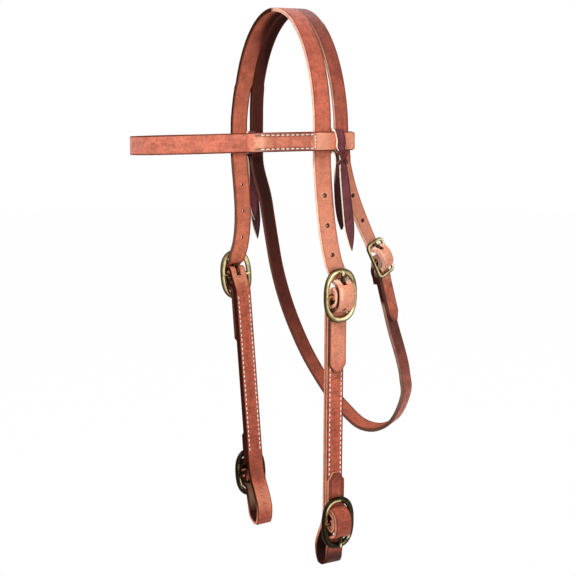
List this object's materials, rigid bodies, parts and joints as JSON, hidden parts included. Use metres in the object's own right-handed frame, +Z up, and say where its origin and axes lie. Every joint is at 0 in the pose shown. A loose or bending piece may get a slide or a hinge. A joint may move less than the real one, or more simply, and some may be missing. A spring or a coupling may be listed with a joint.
{
  "type": "western headstall",
  "caption": "Leather western browband headstall: split crown with throatlatch, looped browband, stitched cheek straps with bit loops, brass buckles and dark tie thongs.",
  "frame": {"origin": "middle of the crown's underside, where the poll carries the headstall", "axes": "+Z up, the browband to -Y, the near (left) side of the horse to +X"},
  "size_m": [0.182, 0.2485, 0.4906],
  "materials": {
    "strap_leather": "oiled smooth leather with burnished edges",
    "tie_leather": "dark waxy leather with pale cut edges",
    "frame_brass": "polished casting",
    "tongue_brass": "polished wire"
  },
  "bodies": {
    "crown": {"crown_strap": "strap_leather", "left_upper_buckle_frame": "frame_brass", "right_upper_buckle_frame": "frame_brass", "throat_buckle_frame": "frame_brass"},
    "browband": {"browband": "strap_leather", "left_tie": "tie_leather", "right_tie": "tie_leather"},
    "left_cheek": {"left_cheek_strap": "strap_leather", "left_lower_buckle_frame": "frame_brass"},
    "right_cheek": {"right_cheek_strap": "strap_leather", "right_lower_buckle_frame": "frame_brass"},
    "left_upper_tongue": {"left_upper_tongue": "tongue_brass"},
    "right_upper_tongue": {"right_upper_tongue": "tongue_brass"},
    "left_lower_tongue": {"left_lower_tongue": "tongue_brass"},
    "right_lower_tongue": {"right_lower_tongue": "tongue_brass"},
    "throat_tongue": {"throat_tongue": "tongue_brass"}
  },
  "joints": [
    {"name": "left_cheek_swing", "type": "hinge", "parent": "crown", "child": "left_cheek", "pos_m": [0.082, 0.0058, -0.242], "axis": [0.0005, 0.9999, 0.0148], "range_deg": [0, 8]},
    {"name": "right_cheek_swing", "type": "hinge", "parent": "crown", "child": "right_cheek", "pos_m": [-0.082, -0.0085, -0.241], "axis": [0.002, -0.9984, -0.0565], "range_deg": [0, 8]},
    {"name": "browband_slide", "type": "slide", "parent": "crown", "child": "browband", "axis": [0, 0, 1], "range_m": [-0.008, 0.005]},
    {"name": "left_upper_tongue_lift", "type": "hinge", "parent": "crown", "child": "left_upper_tongue", "pos_m": [0.082, 0.0058, -0.242], "axis": [0.0005, 0.9999, 0.0148], "range_deg": [0, 8]},
    {"name": "right_upper_tongue_lift", "type": "hinge", "parent": "crown", "child": "right_upper_tongue", "pos_m": [-0.082, -0.0085, -0.241], "axis": [0.002, -0.9984, -0.0565], "range_deg": [0, 8]},
    {"name": "left_lower_tongue_lift", "type": "hinge", "parent": "left_cheek", "child": "left_lower_tongue", "pos_m": [0.075, 0.0088, -0.445], "axis": [-0.0005, -0.9999, -0.0148], "range_deg": [0, 8]},
    {"name": "right_lower_tongue_lift", "type": "hinge", "parent": "right_cheek", "child": "right_lower_tongue", "pos_m": [-0.075, 0.0025, -0.435], "axis": [-0.002, 0.9984, 0.0565], "range_deg": [0, 8]},
    {"name": "throat_tongue_lift", "type": "hinge", "parent": "crown", "child": "throat_tongue", "pos_m": [0.075, 0.0513, -0.2129], "axis": [-0.3041, 0.8883, 0.3442], "range_deg": [0, 8]}
  ]
}
